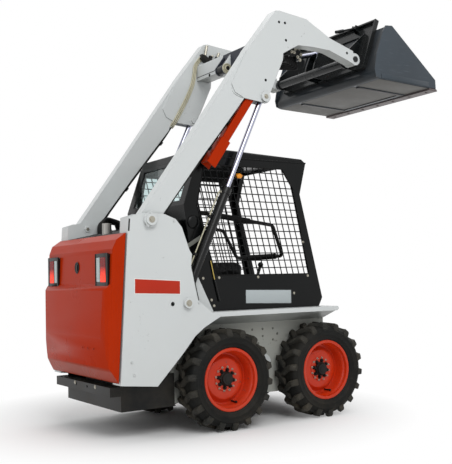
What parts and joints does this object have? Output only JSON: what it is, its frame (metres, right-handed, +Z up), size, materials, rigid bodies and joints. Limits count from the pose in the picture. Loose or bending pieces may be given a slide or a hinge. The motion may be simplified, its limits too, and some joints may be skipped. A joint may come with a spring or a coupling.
{
  "type": "skid steer loader",
  "caption": "Compact skid steer loader with raised lift arms, a bucket on a quick-attach frame, an open cab with side screens and a rear engine door.",
  "frame": {"origin": "on the ground under the middle of the machine's outline with the arms raised", "axes": "+X forward towards the bucket, +Y to the machine's left, +Z up"},
  "size_m": [2.898, 1.268, 3.0188],
  "materials": {
    "tyre": "matte black rubber",
    "wheel_orange": "gloss orange-red paint",
    "frame_black": "satin black paint",
    "body_white": "gloss light grey-white paint",
    "body_orange": "gloss orange-red paint",
    "cylinder_black": "satin black paint",
    "rod_chrome": "polished chrome",
    "cab_black": "gloss black paint",
    "screen_black": "satin black paint on wire",
    "lamp_red": "clear and red lens in a black housing",
    "engine_iron": "painted casting",
    "bare_steel": "heat-dulled steel",
    "bucket_black": "slate-black paint, worn below",
    "edge_steel": "worn steel",
    "glass": "clear glass",
    "seat_vinyl": "black vinyl"
  },
  "bodies": {
    "chassis": {"chaincases": "body_white", "upright_right": "body_white", "upright_left": "body_white", "lower_frame": "frame_black", "rear_bumper": "frame_black", "engine_block": "engine_iron", "muffler": "bare_steel", "cab_side_right": "cab_black", "cab_side_left": "cab_black", "side_screens": "screen_black", "cab_roof": "cab_black", "cab_rear": "cab_black", "rear_window": "glass", "cab_floor": "cab_black", "seat_cushion": "seat_vinyl", "seat_back": "seat_vinyl", "steering_levers": "frame_black"},
    "lift_arms": {"arm_right": "body_white", "arm_left": "body_white", "cross_member": "body_white"},
    "arm_support": {"support_bar": "body_orange"},
    "lift_barrel_r": {"lift_barrel_right": "cylinder_black"},
    "lift_barrel_l": {"lift_barrel_left": "cylinder_black"},
    "lift_rod_r": {"lift_rod_right": "rod_chrome"},
    "lift_rod_l": {"lift_rod_left": "rod_chrome"},
    "tilt_barrel_body": {"tilt_barrel": "cylinder_black"},
    "tilt_rod_body": {"tilt_rod": "rod_chrome"},
    "quick_attach": {"tach_frame": "frame_black", "bucket": "bucket_black", "cutting_edge": "edge_steel"},
    "lever_r": {"tach_lever_right": "frame_black"},
    "lever_l": {"tach_lever_left": "frame_black"},
    "operator_bar": {"seat_bar": "frame_black"},
    "rear_door": {"tailgate": "body_orange", "tail_lamps": "lamp_red"},
    "engine_lid": {"rear_grille": "frame_black"},
    "wheel_rear_right": {"tyre_rear_right": "tyre", "rim_rear_right": "wheel_orange"},
    "wheel_rear_left": {"tyre_rear_left": "tyre", "rim_rear_left": "wheel_orange"},
    "wheel_front_right": {"tyre_front_right": "tyre", "rim_front_right": "wheel_orange"},
    "wheel_front_left": {"tyre_front_left": "tyre", "rim_front_left": "wheel_orange"}
  },
  "joints": [
    {"name": "wheel_spin_rear_right", "type": "hinge", "parent": "chassis", "child": "wheel_rear_right", "pos_m": [-0.56, -0.482, 0.336], "axis": [0, 1, 0], "continuous": true},
    {"name": "wheel_spin_rear_left", "type": "hinge", "parent": "chassis", "child": "wheel_rear_left", "pos_m": [-0.56, 0.482, 0.336], "axis": [0, 1, 0], "continuous": true},
    {"name": "wheel_spin_front_right", "type": "hinge", "parent": "chassis", "child": "wheel_front_right", "pos_m": [0.26, -0.482, 0.336], "axis": [0, 1, 0], "continuous": true},
    {"name": "wheel_spin_front_left", "type": "hinge", "parent": "chassis", "child": "wheel_front_left", "pos_m": [0.26, 0.482, 0.336], "axis": [0, 1, 0], "continuous": true},
    {"name": "arms_lift", "type": "hinge", "parent": "chassis", "child": "lift_arms", "pos_m": [-1.135, 0, 1.388], "axis": [0, 1, 0], "range_deg": [0, 68.4]},
    {"name": "lift_barrel_swing_r", "type": "hinge", "parent": "chassis", "child": "lift_barrel_r", "pos_m": [-0.872, -0.485, 0.852], "axis": [0, 1, 0], "range_deg": [0, 65.29]},
    {"name": "lift_rod_slide_r", "type": "slide", "parent": "lift_barrel_r", "child": "lift_rod_r", "axis": [0.428, 0, 0.9038], "range_m": [-0.6689, 0]},
    {"name": "lift_barrel_swing_l", "type": "hinge", "parent": "chassis", "child": "lift_barrel_l", "pos_m": [-0.872, 0.485, 0.852], "axis": [0, 1, 0], "range_deg": [0, 65.29]},
    {"name": "lift_rod_slide_l", "type": "slide", "parent": "lift_barrel_l", "child": "lift_rod_l", "axis": [0.428, 0, 0.9038], "range_m": [-0.6689, 0]},
    {"name": "bucket_tilt", "type": "hinge", "parent": "lift_arms", "child": "quick_attach", "pos_m": [0.668, 0, 2.655], "axis": [0, 1, 0], "range_deg": [-95, 40]},
    {"name": "tilt_barrel_swing", "type": "hinge", "parent": "lift_arms", "child": "tilt_barrel_body", "pos_m": [-0.198, 0, 2.585], "axis": [0, 1, 0], "range_deg": [-2.19, 0.98]},
    {"name": "tilt_rod_slide", "type": "slide", "parent": "tilt_barrel_body", "child": "tilt_rod_body", "axis": [0.9662, 0, 0.2577], "range_m": [-0.3192, 0.135]},
    {"name": "support_swing", "type": "hinge", "parent": "lift_arms", "child": "arm_support", "pos_m": [-0.3, -0.485, 2.275], "axis": [0, 1, 0], "range_deg": [-10, 0]},
    {"name": "lever_turn_r", "type": "hinge", "parent": "quick_attach", "child": "lever_r", "pos_m": [0.89365, -0.29, 2.99465], "axis": [0, 1, 0], "range_deg": [0, 70]},
    {"name": "lever_turn_l", "type": "hinge", "parent": "quick_attach", "child": "lever_l", "pos_m": [0.89365, 0.29, 2.99465], "axis": [0, 1, 0], "range_deg": [0, 70]},
    {"name": "seat_bar_swing", "type": "hinge", "parent": "chassis", "child": "operator_bar", "pos_m": [-0.766, 0, 1.48], "axis": [0, 1, 0], "range_deg": [-35, 0]},
    {"name": "tailgate_swing", "type": "hinge", "parent": "chassis", "child": "rear_door", "pos_m": [-1.34631, 0.525, 0.82], "axis": [-0.0672, 0, -0.9977], "range_deg": [0, 90]},
    {"name": "grille_lift", "type": "hinge", "parent": "chassis", "child": "engine_lid", "pos_m": [-0.864, 0, 1.388], "axis": [0, 1, 0], "range_deg": [0, 55]}
  ],
  "couplings": [
    {"joint": "lift_barrel_swing_r", "follows": "arms_lift", "ratio": 0.95314},
    {"joint": "lift_rod_slide_r", "follows": "arms_lift", "m_per_rad": -0.55944},
    {"joint": "lift_barrel_swing_l", "follows": "arms_lift", "ratio": 0.95314},
    {"joint": "lift_rod_slide_l", "follows": "arms_lift", "m_per_rad": -0.55944},
    {"joint": "tilt_barrel_swing", "follows": "bucket_tilt", "ratio": 0.022},
    {"joint": "tilt_rod_slide", "follows": "bucket_tilt", "m_per_rad": 0.19194}
  ]
}
